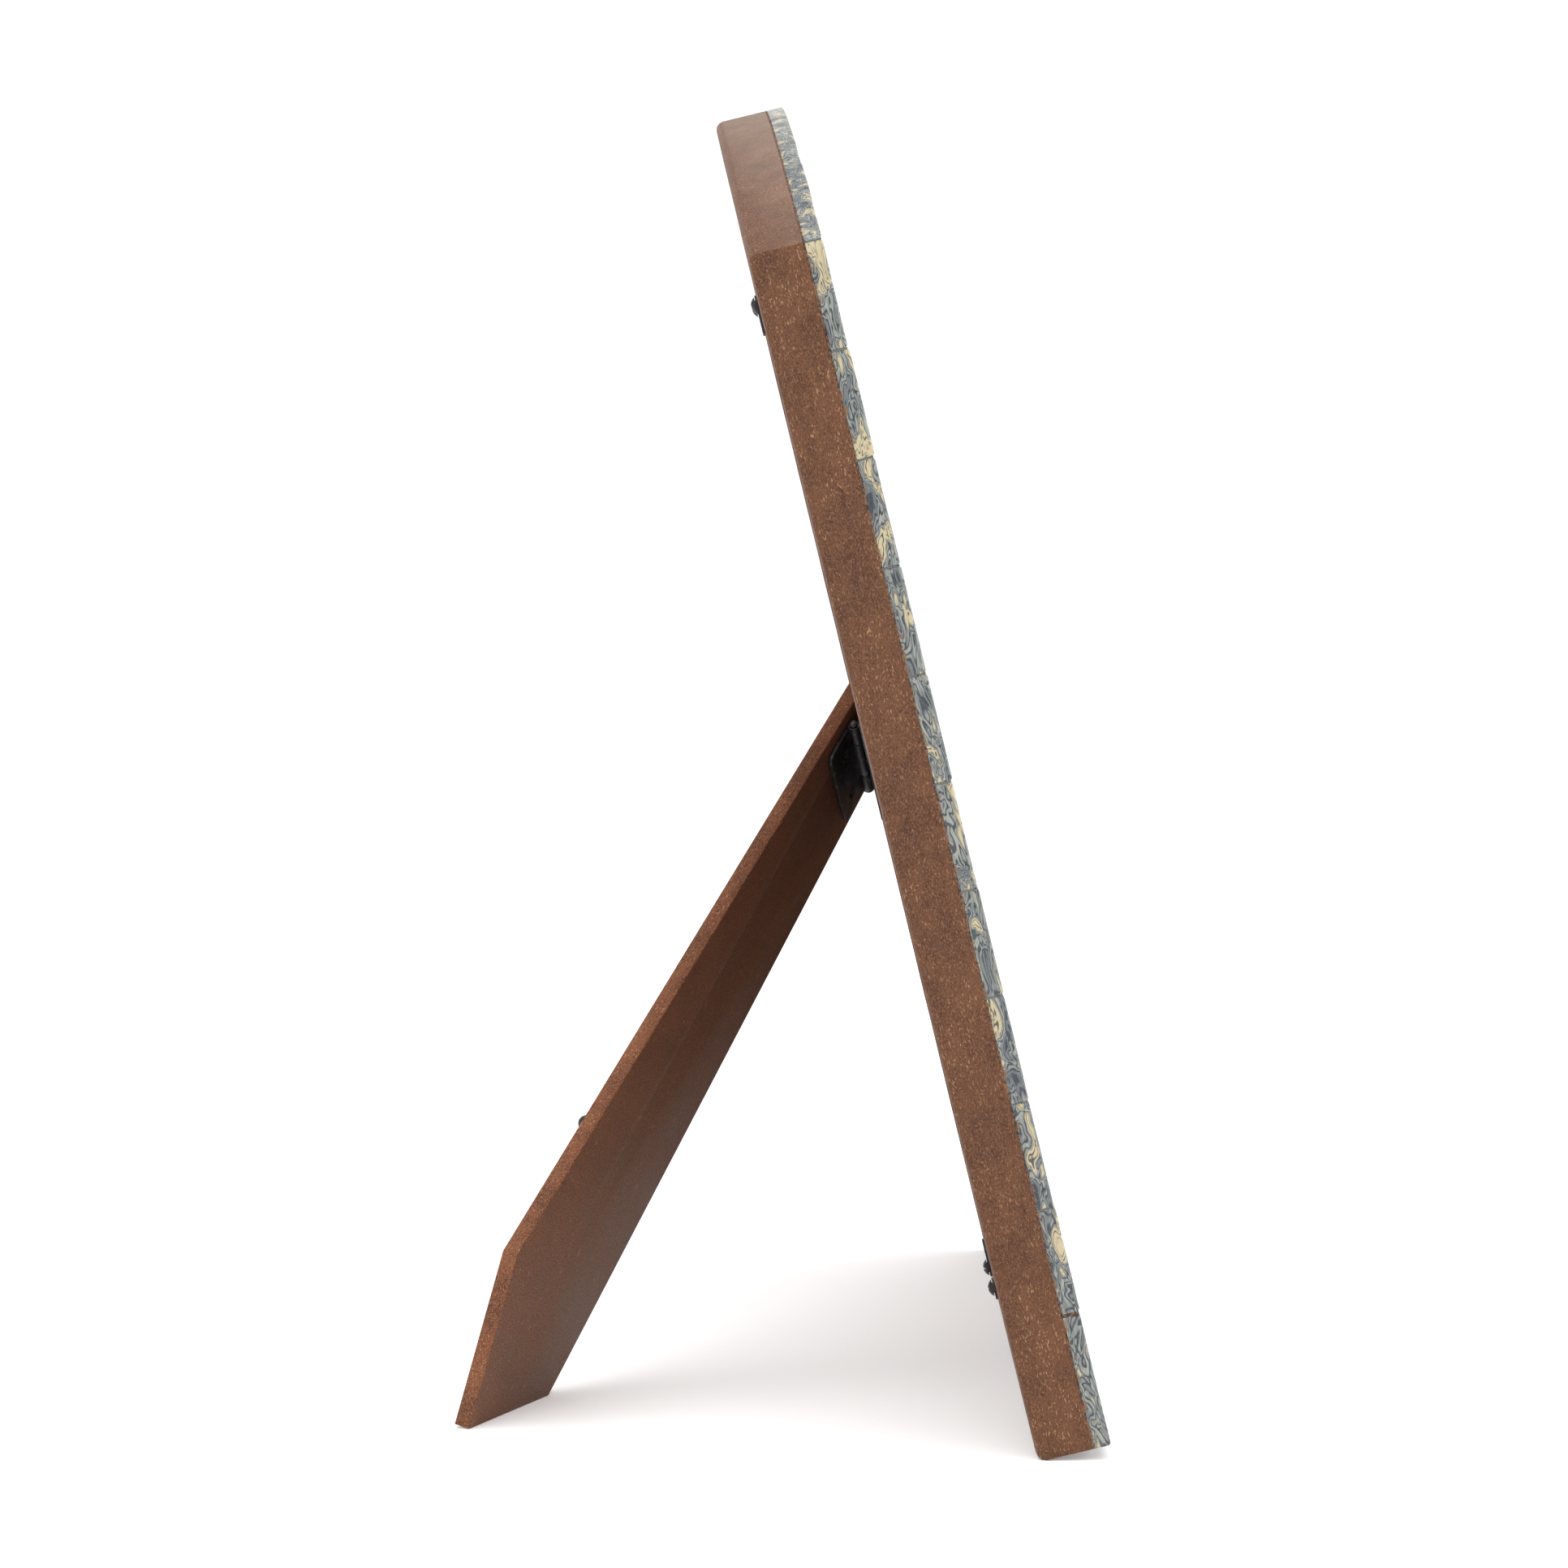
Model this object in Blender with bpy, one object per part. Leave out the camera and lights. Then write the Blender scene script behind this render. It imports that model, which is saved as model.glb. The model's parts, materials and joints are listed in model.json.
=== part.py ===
"""Easel-back picture frame: a leaning board faced with marbled tiles, on a folding leg.

The frame is drawn upright in its own plane and leaned back by one empty: X runs across
it, Y runs backwards out of its rear face (Y = 0) and Z runs up the slope from its lower
rear edge. The leg turns about a butt hinge that is set diagonally on the back panel, so
that the folded leg lies across the back and the opened leg stands on its pointed foot.
"""
import math

import bmesh
import bpy
from mathutils import Matrix, Vector

MM = 0.001

# Clearances
GAP = 0.3 * MM  # left between pieces that touch on the real frame
FIT = 0.3 * MM  # all round a piece that drops into the rebate

# Board
FRAME_WIDTH = 203.0 * MM
SIDE_HEIGHT = 220.7 * MM  # up the slope, to where the arch springs
ARCH_RISE = 28.4 * MM
BOARD_THICKNESS = 10.0 * MM
BACK_EDGE_RADIUS = 1.6 * MM
LEAN = math.radians(13.6)

# Window and rebate
STILE_WIDTH = 41.5 * MM
RAIL_HEIGHT = 33.6 * MM
HEADER_HEIGHT = 17.1 * MM  # from the window to the springing line
REBATE_LIP = 5.0 * MM
GLASS_THICKNESS = 2.0 * MM
PRINT_THICKNESS = 0.3 * MM
PANEL_THICKNESS = 3.0 * MM
PANEL_RECESS = 0.8 * MM  # how far the panel sits below the board's rear face

# Tiles
TILE_THICKNESS = 3.2 * MM
TILE_UNEVENNESS = 0.08 * MM  # hand-laid tiles differ by up to this in thickness
TILE_EDGE_RADIUS = 0.45 * MM
CORNER_TILE_HEIGHT = 24.7 * MM
SIDE_TILE_COUNT = 10
FILLED_JOINT = 0.6 * MM  # the wider joint above each corner tile
RAIL_TILE_COUNT = 3
ARCH_END_TILE = 18.0 * MM
ARCH_NEXT_TILE = 12.5 * MM
ARCH_TILE_COUNT = 5  # over the window

# Turn buttons and their screws
BUTTON_THICKNESS = 0.4 * MM
BUTTON_RADIUS = 1.9 * MM
BUTTON_TIP_RADIUS = 1.5 * MM
BUTTON_REACH = 5.6 * MM  # pivot to tip
BUTTON_INSET = 4.0 * MM  # pivot to the rebate's edge
BUTTON_SPREAD = 41.5 * MM  # pivot to the frame's centre line
SPARE_BUTTON_OFFSET = 20.0 * MM  # from the lower left button
SCREW_RADIUS = 1.0 * MM
SCREW_LENGTH = 6.0 * MM
SCREW_HEAD_RADIUS = 1.6 * MM
SCREW_HEAD_HEIGHT = 0.9 * MM
SLOT_WIDTH = 0.45 * MM
SLOT_DEPTH = 0.5 * MM
SLOT_STEP = math.radians(40.0)  # how much further each screw's slot is turned than the last

# Hinge
HINGE_OFFSET = 19.5 * MM  # from the centre line
HINGE_HEIGHT = 120.1 * MM  # up the slope
HINGE_TURN = math.radians(45.0)  # how far the barrel points down from level
BARREL_RADIUS = 1.2 * MM
BARREL_LENGTH = 20.4 * MM
END_KNUCKLE = 5.0 * MM
LEAF_WIDTH = 9.7 * MM  # from the barrel's axis
LEAF_THICKNESS = 0.7 * MM
LEAF_CORNER = 1.5 * MM
LEAF_SINK = 0.5 * MM  # how much lower than the barrel the panel's leaf lies
PIN_RADIUS = 0.6 * MM
PIN_HEAD_RADIUS = 0.95 * MM
PIN_HEAD_HEIGHT = 0.6 * MM
HINGE_SCREW_RADIUS = 0.5 * MM
HINGE_SCREW_HEAD = 1.1 * MM
HINGE_SCREW_LENGTH = 2.7 * MM
HINGE_SCREW_SPREAD = 5.2 * MM
HINGE_SCREW_REACH = 5.2 * MM  # from the barrel's axis
COUNTERSINK = 0.75  # depth of a screw head's cone, as a share of the leaf's thickness

# Leg
LEG_OPENING = math.radians(35.8)
LEG_THICKNESS = 3.2 * MM
LEG_HALF_WIDTH = 12.2 * MM  # at the hinge
FOOT_NEAR = 18.4 * MM  # from the leg's centre line, on the side nearer the frame's edge
FOOT_FAR = 22.7 * MM
FOOT_SHOULDER = 27.7 * MM  # tip to the near side's widest point, along the leg
LEG_EDGE_RADIUS = 0.35 * MM
STUD_HEAD_RADIUS = 1.6 * MM
STUD_HEAD_HEIGHT = 1.5 * MM
STUD_SHANK_RADIUS = 0.5 * MM
STUD_DEPTH = 1.8 * MM
STUD_REACH = 107.0 * MM  # from the barrel's axis
STUD_EDGE = 2.6 * MM  # in from the leg's near edge

# Worked out from the above
HALF_WIDTH = FRAME_WIDTH / 2
ARCH_RADIUS = (HALF_WIDTH**2 + ARCH_RISE**2) / (2 * ARCH_RISE)
WINDOW_HALF = HALF_WIDTH - STILE_WIDTH
WINDOW_BOTTOM = RAIL_HEIGHT
WINDOW_TOP = SIDE_HEIGHT - HEADER_HEIGHT
REBATE_HALF = WINDOW_HALF + REBATE_LIP
REBATE_BOTTOM = WINDOW_BOTTOM - REBATE_LIP
REBATE_TOP = WINDOW_TOP + REBATE_LIP
PANEL_BACK = -PANEL_RECESS
BUTTON_BASE = max(PANEL_BACK, 0) + GAP
PANEL_FRONT = PANEL_BACK - PANEL_THICKNESS
PRINT_FRONT = PANEL_FRONT - GAP - PRINT_THICKNESS
GLASS_FRONT = PRINT_FRONT - GAP - GLASS_THICKNESS
REBATE_FLOOR = GLASS_FRONT - GAP
TILE_BACK = -BOARD_THICKNESS - GAP
HINGE_STANDOFF = PANEL_BACK + GAP + LEAF_SINK + BARREL_RADIUS
LEG_INNER = BARREL_RADIUS + GAP  # the leg's inner face, out from the barrel's axis
LEG_OUTER = LEG_INNER + LEG_THICKNESS
LEAF_START = BARREL_RADIUS + GAP  # where a leaf clears the other leaf's knuckles
LOWEST = BACK_EDGE_RADIUS * (math.cos(LEAN) + math.sin(LEAN) - 1)


# Tools


def clear_scene():
    """Empty the file."""
    for item in list(bpy.data.objects):
        bpy.data.objects.remove(item)


def material(name, colour, roughness, metallic=0.0, alpha=1.0):
    """Return a new Principled material."""
    made = bpy.data.materials.new(name)
    made.use_nodes = True
    shader = made.node_tree.nodes["Principled BSDF"]
    shader.inputs["Base Color"].default_value = (*colour, 1.0)
    shader.inputs["Roughness"].default_value = roughness
    shader.inputs["Metallic"].default_value = metallic
    shader.inputs["Alpha"].default_value = alpha
    made.diffuse_color = (*colour, alpha)
    return made


def empty(name, parent=None, location=(0, 0, 0), rotation=(0, 0, 0)):
    """Return a new empty that carries pieces."""
    made = bpy.data.objects.new(name, None)
    bpy.context.collection.objects.link(made)
    made.parent = parent
    made.location = location
    made.rotation_euler = rotation
    return made


def add(name, mesh, finish, parent, location=(0, 0, 0), rotation=(0, 0, 0)):
    """Turn a bmesh into a named object under its parent."""
    bmesh.ops.recalc_face_normals(mesh, faces=mesh.faces)
    data = bpy.data.meshes.new(name)
    mesh.to_mesh(data)
    mesh.free()
    made = bpy.data.objects.new(name, data)
    bpy.context.collection.objects.link(made)
    made.parent = parent
    made.location = location
    made.rotation_euler = rotation
    if finish:
        data.materials.append(finish)
    return made


def combine(body, other, operation):
    """Cut body by other, or join other to it, with a live Boolean."""
    other.hide_render = True
    other.display_type = "WIRE"
    boolean = body.modifiers.new(operation.lower(), "BOOLEAN")
    boolean.operation = operation
    boolean.object = other
    boolean.solver = "EXACT"


def smooth(item, angle=40.0):
    """Shade a round piece smooth, but not across its sharp edges."""
    item.data.shade_smooth()
    item.data.set_sharp_from_angle(angle=math.radians(angle))


def box(low, high):
    """Return a box between two corners."""
    mesh = bmesh.new()
    bmesh.ops.create_cube(mesh, size=1.0)
    size = Vector(high) - Vector(low)
    bmesh.ops.scale(mesh, vec=size, verts=mesh.verts)
    bmesh.ops.translate(mesh, vec=(Vector(high) + Vector(low)) / 2, verts=mesh.verts)
    return mesh


def plate(outline, y_low, y_high):
    """Return a plate with an (x, z) outline, standing between two values of y."""
    mesh = bmesh.new()
    face = mesh.faces.new([mesh.verts.new((x, y_low, z)) for x, z in outline])
    made = bmesh.ops.extrude_face_region(mesh, geom=[face])
    moved = [item for item in made["geom"] if isinstance(item, bmesh.types.BMVert)]
    bmesh.ops.translate(mesh, vec=(0, y_high - y_low, 0), verts=moved)
    return mesh


def turned(profile, segments):
    """Return a solid turned about Y from a profile of (radius, y) points."""
    mesh = bmesh.new()
    verts = [mesh.verts.new((radius, y, 0)) for radius, y in profile]
    edges = [mesh.edges.new(pair) for pair in zip(verts, verts[1:])]
    bmesh.ops.spin(mesh, geom=verts + edges, cent=(0, 0, 0), axis=(0, 1, 0),
                   angle=math.tau, steps=segments)
    bmesh.ops.remove_doubles(mesh, verts=mesh.verts, dist=0.001 * MM)
    return mesh


def rod(radius, low, high, segments=24, along="Y"):
    """Return a round rod on the Y axis, or turned to lie on the X axis."""
    mesh = turned([(0, low), (radius, low), (radius, high), (0, high)], segments)
    if along == "X":
        bmesh.ops.rotate(mesh, cent=(0, 0, 0), verts=mesh.verts,
                         matrix=Matrix.Rotation(-math.pi / 2, 3, "Z"))
    return mesh


def dome(radius, height, base, steps):
    """Return profile points from a dome's rim up to its crown."""
    sphere = (radius**2 + height**2) / (2 * height)
    reach = math.asin(radius / sphere)
    points = []
    for step in range(steps + 1):
        angle = reach * (1 - step / steps)
        points.append((sphere * math.sin(angle),
                       base + height - sphere * (1 - math.cos(angle))))
    return points


def arc(centre, radius, start, end, steps):
    """Return outline points along an arc, both ends included."""
    points = []
    for step in range(steps + 1):
        angle = start + (end - start) * step / steps
        points.append((centre[0] + radius * math.cos(angle),
                       centre[1] + radius * math.sin(angle)))
    return points


def soften(mesh, edges, radius, segments=2):
    """Round the given edges of a mesh."""
    bmesh.ops.bevel(mesh, geom=edges, offset=radius, offset_type="OFFSET",
                    segments=segments, profile=0.5, affect="EDGES", clamp_overlap=True)


def arch_height(x):
    """Height up the slope of the arch's edge at x."""
    return SIDE_HEIGHT + ARCH_RISE - ARCH_RADIUS + math.sqrt(ARCH_RADIUS**2 - x**2)


def arch_points(left, right, steps):
    """Return points along the arch's edge, from right to left."""
    points = []
    for step in range(steps + 1):
        x = right + (left - right) * step / steps
        points.append((x, arch_height(x)))
    return points


# Board and what it holds


def make_board(finish, parent):
    """The frame's board: arched blank, window through it, rebate behind."""
    outline = [(-HALF_WIDTH, 0), (HALF_WIDTH, 0)]
    outline += arch_points(-HALF_WIDTH, HALF_WIDTH, 36)
    mesh = plate(outline, -BOARD_THICKNESS, 0)
    rim = [edge for edge in mesh.edges if all(vert.co.y == 0 for vert in edge.verts)]
    soften(mesh, rim, BACK_EDGE_RADIUS, segments=3)
    board = add("frame_board", mesh, finish, parent)
    window = box((-WINDOW_HALF, -2 * BOARD_THICKNESS, WINDOW_BOTTOM),
                 (WINDOW_HALF, BOARD_THICKNESS, WINDOW_TOP))
    combine(board, add("window_cutter", window, None, parent), "DIFFERENCE")
    rebate = box((-REBATE_HALF, REBATE_FLOOR, REBATE_BOTTOM),
                 (REBATE_HALF, BOARD_THICKNESS, REBATE_TOP))
    combine(board, add("rebate_cutter", rebate, None, parent), "DIFFERENCE")
    return board


def make_filling(name, front, thickness, finish, parent):
    """A sheet that drops into the rebate."""
    half = REBATE_HALF - FIT
    mesh = box((-half, front, REBATE_BOTTOM + FIT), (half, front + thickness, REBATE_TOP - FIT))
    return add(name, mesh, finish, parent)


# Tiles


def add_tile(name, outline, number, finish, parent):
    """One tile glued to the board's front, its exposed edges rounded."""
    thickness = TILE_THICKNESS + TILE_UNEVENNESS * math.sin(2.4 * number)
    front = TILE_BACK - thickness
    mesh = plate(outline, front, TILE_BACK)
    face_edges = [edge for edge in mesh.edges
                  if all(abs(vert.co.y - front) < GAP / 2 for vert in edge.verts)]
    soften(mesh, face_edges, TILE_EDGE_RADIUS)
    return add(name, mesh, finish, parent)


def rectangle(left, right, bottom, top):
    """Return a rectangular outline."""
    return [(left, bottom), (right, bottom), (right, top), (left, top)]


def side_tile_joints():
    """Return (bottom, top) of each tile in a side column, joints left open between them."""
    pitch = (SIDE_HEIGHT - CORNER_TILE_HEIGHT) / SIDE_TILE_COUNT
    spans = [(0, CORNER_TILE_HEIGHT - FILLED_JOINT / 2)]
    for row in range(SIDE_TILE_COUNT):
        bottom = CORNER_TILE_HEIGHT + row * pitch
        lower_joint = FILLED_JOINT / 2 if row == 0 else GAP / 2
        spans.append((bottom + lower_joint, bottom + pitch - GAP / 2))
    return spans


def arch_tile_joints():
    """Return the x of each joint in the arch's row, from one end to the other."""
    joints = [-HALF_WIDTH, -HALF_WIDTH + ARCH_END_TILE]
    joints.append(joints[-1] + ARCH_NEXT_TILE)
    pitch = 2 * WINDOW_HALF / ARCH_TILE_COUNT
    joints += [-WINDOW_HALF + column * pitch for column in range(ARCH_TILE_COUNT + 1)]
    joints += [-x for x in reversed(joints[:3])]
    return joints


def make_tiles(finishes, parent):
    """Two side columns, the row under the window and the arch's row above it."""
    for side, sign in (("left", -1), ("right", 1)):
        inner = WINDOW_HALF + GAP / 2
        span = sorted((sign * HALF_WIDTH, sign * inner))
        for row, (bottom, top) in enumerate(side_tile_joints()):
            outline = rectangle(span[0], span[1], bottom, top)
            finish = finishes[(row * 2 + (sign > 0)) % len(finishes)]
            add_tile(f"side_tile_{side}_{row + 1:02d}", outline, row + 3 * sign, finish, parent)
    width = 2 * WINDOW_HALF / RAIL_TILE_COUNT
    for column in range(RAIL_TILE_COUNT):
        left = -WINDOW_HALF + column * width + GAP / 2
        outline = rectangle(left, left + width - GAP, 0, RAIL_HEIGHT)
        finish = finishes[(column + 1) % len(finishes)]
        add_tile(f"rail_tile_{column + 1}", outline, column + 2, finish, parent)
    joints = arch_tile_joints()
    for number, (left, right) in enumerate(zip(joints, joints[1:])):
        left_edge = left if number == 0 else left + GAP / 2
        right_edge = right if number == len(joints) - 2 else right - GAP / 2
        over_window = left > -WINDOW_HALF - GAP and right < WINDOW_HALF + GAP
        bottom = WINDOW_TOP if over_window else SIDE_HEIGHT + GAP / 2
        top = arch_points(left_edge, right_edge, 4)
        outline = [(left_edge, bottom), (right_edge, bottom)]
        outline += [point for point in top if point[1] > bottom + GAP]
        finish = finishes[(number + 2) % len(finishes)]
        add_tile(f"arch_tile_{number + 1:02d}", outline, number + 5, finish, parent)


# Fasteners


def cut_slot(screw, crown, head_radius, depth):
    """Cut a screwdriver slot across a screw's head, which faces +Y."""
    mesh = box((-2 * head_radius, crown - depth, -SLOT_WIDTH / 2),
               (2 * head_radius, crown + 2 * depth, SLOT_WIDTH / 2))
    combine(screw, add(f"{screw.name}_slot", mesh, None, screw), "DIFFERENCE")


def make_round_screw(name, seat, finish, parent, location, turn):
    """A round-headed screw whose head sits on y = seat."""
    under = seat + GAP
    profile = [(0, under - SCREW_LENGTH), (SCREW_RADIUS / 2, under - SCREW_LENGTH)]
    profile += [(SCREW_RADIUS, under - SCREW_LENGTH + SCREW_RADIUS), (SCREW_RADIUS, under)]
    profile += dome(SCREW_HEAD_RADIUS, SCREW_HEAD_HEIGHT, under, 5)
    screw = add(name, turned(profile, 20), finish, parent, location, (0, turn, 0))
    smooth(screw)
    cut_slot(screw, under + SCREW_HEAD_HEIGHT, SCREW_HEAD_RADIUS, SLOT_DEPTH)
    return screw


def make_button(number, x, z, turn, finishes, board, parent):
    """A turn button and its screw: they hold the back panel in."""
    base = BUTTON_BASE
    top = base + BUTTON_THICKNESS
    reach = BUTTON_REACH - BUTTON_TIP_RADIUS
    outline = arc((0, reach), BUTTON_TIP_RADIUS, 0, math.pi, 6)
    outline += arc((0, 0), BUTTON_RADIUS, math.pi, math.tau, 8)
    location = (x, 0, z)
    button = add(f"turn_button_{number}", plate(outline, base, top), finishes[0], parent,
                 location, (0, turn, 0))
    hole = rod(SCREW_RADIUS + GAP, base - GAP, top + GAP, 20)
    combine(button, add(f"turn_button_{number}_hole", hole, None, button), "DIFFERENCE")
    make_round_screw(f"button_screw_{number}", top, finishes[1], parent, location,
                     turn + SLOT_STEP * (number - 1))
    pilot = rod(SCREW_RADIUS + GAP, top - SCREW_LENGTH, BOARD_THICKNESS, 20)
    combine(board, add(f"pilot_cutter_{number}", pilot, None, parent, location), "DIFFERENCE")


def make_buttons(finishes, board, parent):
    """Two buttons over the panel, one under its lower left corner and one beside that."""
    low = REBATE_BOTTOM - BUTTON_INSET
    high = REBATE_TOP + BUTTON_INSET
    places = [(-BUTTON_SPREAD, low, 0), (-BUTTON_SPREAD, high, math.pi),
              (BUTTON_SPREAD, high, math.pi),
              (-BUTTON_SPREAD - SPARE_BUTTON_OFFSET, low, -math.pi / 2)]
    for number, (x, z, turn) in enumerate(places, start=1):
        make_button(number, x, z, turn, finishes, board, parent)


# Hinge. Its pieces are drawn folded: X along the barrel, Y away from the panel, and -Z
# from the barrel towards the foot.


def leaf_outline(tabs):
    """Outline of a leaf: a rounded plate, with tabs that run in to the barrel."""
    half = BARREL_LENGTH / 2
    corner = -LEAF_WIDTH + LEAF_CORNER
    outline = arc((-half + LEAF_CORNER, corner), LEAF_CORNER, math.pi, 1.5 * math.pi, 4)
    outline += arc((half - LEAF_CORNER, corner), LEAF_CORNER, 1.5 * math.pi, math.tau, 4)
    if tabs[-1][1] < half:
        outline.append((half, -LEAF_START))
    for left, right in reversed(tabs):
        if right < half:
            outline.append((right, -LEAF_START))
        outline += [(right, 0), (left, 0)]
        if left > -half:
            outline.append((left, -LEAF_START))
    if tabs[0][0] > -half:
        outline.append((-half, -LEAF_START))
    return outline


def leaf_depth(side):
    """From the barrel's axis to a leaf's outer face. side is +1 on the leg and -1 on the panel."""
    return BARREL_RADIUS if side > 0 else BARREL_RADIUS + LEAF_SINK


def make_leaf(name, tabs, side, finish, parent):
    """One leaf with its knuckles."""
    face = side * leaf_depth(side)
    inner = face - side * LEAF_THICKNESS
    leaf = add(name, plate(leaf_outline(tabs), min(face, inner), max(face, inner)), finish, parent)
    for number, (left, right) in enumerate(tabs):
        knuckle = add(f"{name}_knuckle_{number}", rod(BARREL_RADIUS, left, right, 24, "X"),
                      None, parent)
        combine(leaf, knuckle, "UNION")
    half = BARREL_LENGTH / 2
    bore = add(f"{name}_bore", rod(PIN_RADIUS + GAP, -half - GAP, half + GAP, 24, "X"), None, parent)
    combine(leaf, bore, "DIFFERENCE")
    smooth(leaf, 30.0)
    return leaf


def make_hinge_screw(name, x, side, finish, leaf, holder):
    """A countersunk screw through a leaf into the piece behind it."""
    top = leaf_depth(side) - LEAF_THICKNESS
    taper = COUNTERSINK * LEAF_THICKNESS
    end = HINGE_SCREW_LENGTH
    place = (x, side * top, -HINGE_SCREW_REACH)
    turn = (math.pi if side > 0 else 0, x / HINGE_SCREW_SPREAD, 0)
    profile = [(0, -end), (HINGE_SCREW_RADIUS, -end + HINGE_SCREW_RADIUS)]
    profile += [(HINGE_SCREW_RADIUS, -taper), (HINGE_SCREW_HEAD, 0), (0, 0)]
    screw = add(name, turned(profile, 16), finish, leaf.parent, place, turn)
    smooth(screw)
    cut_slot(screw, 0, HINGE_SCREW_HEAD, SLOT_DEPTH / 2)
    wide = HINGE_SCREW_HEAD + GAP
    narrow = HINGE_SCREW_RADIUS + GAP
    hole = [(0, -end - GAP), (narrow, -end - GAP), (narrow, -taper), (wide, 0), (wide, GAP), (0, GAP)]
    cutter = add(f"{name}_hole", turned(hole, 20), None, leaf.parent, place, turn)
    combine(leaf, cutter, "DIFFERENCE")
    combine(holder, cutter, "DIFFERENCE")


def make_pin(finish, parent):
    """The hinge's pin, with a domed head past each end of the barrel."""
    half = BARREL_LENGTH / 2 + GAP
    head = dome(PIN_HEAD_RADIUS, PIN_HEAD_HEIGHT, half, 4)
    profile = [(radius, -y) for radius, y in reversed(head)]
    profile += [(PIN_RADIUS, -half), (PIN_RADIUS, half)] + head
    mesh = turned(profile, 20)
    bmesh.ops.rotate(mesh, cent=(0, 0, 0), verts=mesh.verts,
                     matrix=Matrix.Rotation(-math.pi / 2, 3, "Z"))
    pin = add("hinge_pin", mesh, finish, parent)
    smooth(pin)


def make_hinge(finish, panel, leg, fixed, moving):
    """Both leaves, the pin and the four screws."""
    half = BARREL_LENGTH / 2
    split = half - END_KNUCKLE
    panel_leaf = make_leaf("hinge_leaf_panel", [(-half, -split), (split, half)], -1, finish, fixed)
    middle = split - GAP
    leg_leaf = make_leaf("hinge_leaf_leg", [(-middle, middle)], 1, finish, moving)
    make_pin(finish, fixed)
    for number, x in enumerate((-HINGE_SCREW_SPREAD, HINGE_SCREW_SPREAD), start=1):
        make_hinge_screw(f"panel_leaf_screw_{number}", x, -1, finish, panel_leaf, panel)
        make_hinge_screw(f"leg_leaf_screw_{number}", x, 1, finish, leg_leaf, leg)


# Leg


def reach_to_table(x, y):
    """How far down the leg a line at (x, y) in its section meets the table."""
    cos_turn, sin_turn = math.cos(HINGE_TURN), math.sin(HINGE_TURN)
    cos_lean, sin_lean = math.cos(LEAN), math.sin(LEAN)
    cos_open, sin_open = math.cos(LEG_OPENING), math.sin(LEG_OPENING)
    barrel = HINGE_HEIGHT * cos_lean - HINGE_STANDOFF * sin_lean - LOWEST
    along_barrel = -sin_turn * cos_lean
    down_leg = cos_open * cos_turn * cos_lean + sin_open * sin_lean
    out_of_leg = -cos_open * sin_lean + sin_open * cos_turn * cos_lean
    return (barrel + x * along_barrel + y * out_of_leg) / down_leg


def stop_length(y):
    """How far the leg runs past the barrel before it bears on the panel."""
    room = HINGE_STANDOFF + y * math.cos(LEG_OPENING) - PANEL_BACK - GAP
    return room / math.sin(LEG_OPENING)


def make_leg(finish, parent):
    """The leg: tapered towards the hinge, pointed at the foot, bevelled at its top."""
    tip = reach_to_table(0, LEG_INNER)
    mesh = bmesh.new()
    rings = []
    for y in (LEG_INNER, LEG_OUTER):
        top = stop_length(y)
        outline = [(-LEG_HALF_WIDTH, top), (LEG_HALF_WIDTH, top),
                   (FOOT_FAR, -reach_to_table(FOOT_FAR, LEG_INNER)),
                   (0, -tip), (-FOOT_NEAR, FOOT_SHOULDER - tip)]
        rings.append([mesh.verts.new((x, y, z)) for x, z in outline])
    mesh.faces.new(rings[0])
    mesh.faces.new(rings[1])
    for index in range(len(rings[0])):
        after = (index + 1) % len(rings[0])
        mesh.faces.new((rings[0][index], rings[0][after], rings[1][after], rings[1][index]))
    long_edges = []
    for ring in rings:
        for start, end in ((1, 2), (3, 4), (4, 0)):
            long_edges.append(mesh.edges.get((ring[start], ring[end])))
    soften(mesh, long_edges, LEG_EDGE_RADIUS)
    return add("easel_leg", mesh, finish, parent)


def make_stud(finish, leg, parent):
    """A domed stud driven into the leg's outer face."""
    slope = (FOOT_NEAR - LEG_HALF_WIDTH) / (reach_to_table(0, LEG_INNER) - FOOT_SHOULDER)
    x = -LEG_HALF_WIDTH - slope * STUD_REACH + STUD_EDGE
    under = LEG_OUTER + GAP
    profile = [(0, under - STUD_DEPTH), (STUD_SHANK_RADIUS, under - STUD_DEPTH)]
    profile += [(STUD_SHANK_RADIUS, under)] + dome(STUD_HEAD_RADIUS, STUD_HEAD_HEIGHT, under, 4)
    stud = add("leg_stud", turned(profile, 20), finish, parent, (x, 0, -STUD_REACH))
    smooth(stud)
    hole = rod(STUD_SHANK_RADIUS + GAP, under - STUD_DEPTH - GAP, LEG_OUTER + GAP, 16)
    cutter = add("stud_cutter", hole, None, parent, (x, 0, -STUD_REACH))
    combine(leg, cutter, "DIFFERENCE")


# The whole


def centre_on_table(root):
    """Move the root so that the object's box stands centred on the origin."""
    bpy.context.view_layer.update()
    graph = bpy.context.evaluated_depsgraph_get()
    corners = []
    for item in bpy.context.scene.objects:
        if item.type == "MESH" and not item.hide_render:
            solid = item.evaluated_get(graph)
            corners += [solid.matrix_world @ vert.co for vert in solid.data.vertices]
    for axis in (0, 1):
        values = [corner[axis] for corner in corners]
        root.location[axis] = -(min(values) + max(values)) / 2
    root.location[2] = -min(corner[2] for corner in corners)


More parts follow.
